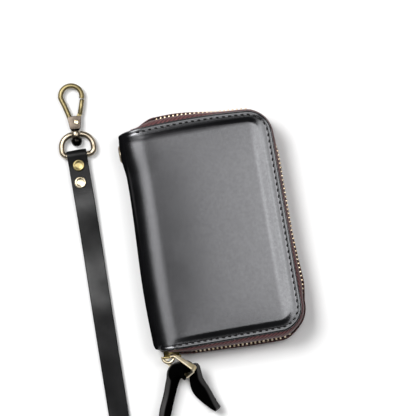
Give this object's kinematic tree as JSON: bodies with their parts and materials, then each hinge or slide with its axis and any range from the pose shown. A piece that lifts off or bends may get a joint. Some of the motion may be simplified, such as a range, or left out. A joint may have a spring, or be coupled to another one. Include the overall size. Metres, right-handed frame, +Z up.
{
  "type": "wristlet wallet",
  "caption": "Closed zip-round leather wallet with rounded corners, card pockets inside, and a folded leather wrist strap on the zip pull ending in a swivel snap hook",
  "frame": {"origin": "middle of the back cover's outer face, on the table", "axes": "+Z up through the closed wallet, +Y along the spine to the top edge, +X from the spine to the opening edge"},
  "size_m": [0.1125, 0.205, 0.022],
  "materials": {
    "cover_leather": "smooth gloss",
    "strap_leather": "satin",
    "board": "matt",
    "lining": "matt",
    "zip_tape": "woven",
    "brass": "polished",
    "antique_brass": "aged satin"
  },
  "bodies": {
    "back_half": {"back_cover": "cover_leather", "back_board": "board", "back_lining": "lining", "back_card_pocket_1": "cover_leather", "back_card_pocket_2": "cover_leather", "back_card_pocket_3": "cover_leather", "back_zip_tape": "zip_tape", "back_zip_teeth": "brass", "wrist_strap": "strap_leather", "strap_hook_end": "strap_leather", "strap_rivet_1": "brass", "strap_rivet_2": "brass"},
    "spine": {"spine_leather": "cover_leather", "spine_lining": "lining", "spine_eyelet": "brass", "eyelet_washer": "brass"},
    "front_half": {"front_cover": "cover_leather", "front_board": "board", "front_lining": "lining", "front_card_pocket_1": "cover_leather", "front_card_pocket_2": "cover_leather", "front_card_pocket_3": "cover_leather", "front_zip_tape": "zip_tape", "front_zip_teeth": "brass"},
    "zip_slider": {"zip_slider": "brass", "slider_crown": "brass"},
    "zip_pull": {"pull_ring": "brass", "strap_pull_end": "strap_leather"},
    "swivel_eye": {"swivel_eye": "brass"},
    "snap_hook": {"swivel_post": "antique_brass", "hook_body": "antique_brass", "gate_pin": "brass"},
    "hook_gate": {"hook_gate": "antique_brass"}
  },
  "joints": [
    {"name": "spine_fold", "type": "hinge", "parent": "back_half", "child": "spine", "pos_m": [-0.0327, 0, 0.006], "axis": [0, -1, 0], "range_deg": [0, 45], "deforming": ["spine_leather"]},
    {"name": "cover_fold", "type": "hinge", "parent": "spine", "child": "front_half", "pos_m": [-0.0327, 0, 0.016], "axis": [0, -1, 0], "range_deg": [0, 45], "deforming": ["spine_leather"]},
    {"name": "zip_slide", "type": "slide", "parent": "back_half", "child": "zip_slider", "axis": [0.9994, -0.0349, 0], "range_m": [0, 0.05], "deforming": ["wrist_strap"]},
    {"name": "pull_swing", "type": "hinge", "parent": "zip_slider", "child": "zip_pull", "pos_m": [-0.03383, -0.062, 0.011], "axis": [0, 0, 1], "range_deg": [-25, 10], "deforming": ["wrist_strap"]},
    {"name": "eye_swing", "type": "hinge", "parent": "back_half", "child": "swivel_eye", "pos_m": [-0.0612, 0.0511, 0.0032], "axis": [0.999, -0.0436, 0], "range_deg": [0, 135]},
    {"name": "hook_swivel", "type": "hinge", "parent": "swivel_eye", "child": "snap_hook", "pos_m": [-0.06073, 0.06189, 0.0032], "axis": [0.0436, 0.999, 0], "continuous": true},
    {"name": "gate_open", "type": "hinge", "parent": "snap_hook", "child": "hook_gate", "pos_m": [-0.05946, 0.06804, 0.0032], "axis": [0, 0, 1], "range_deg": [0, 25], "stiffness_Nm_per_rad": 0.01, "springref_deg": -17.19}
  ],
  "couplings": [
    {"joint": "cover_fold", "follows": "spine_fold", "ratio": 1}
  ]
}
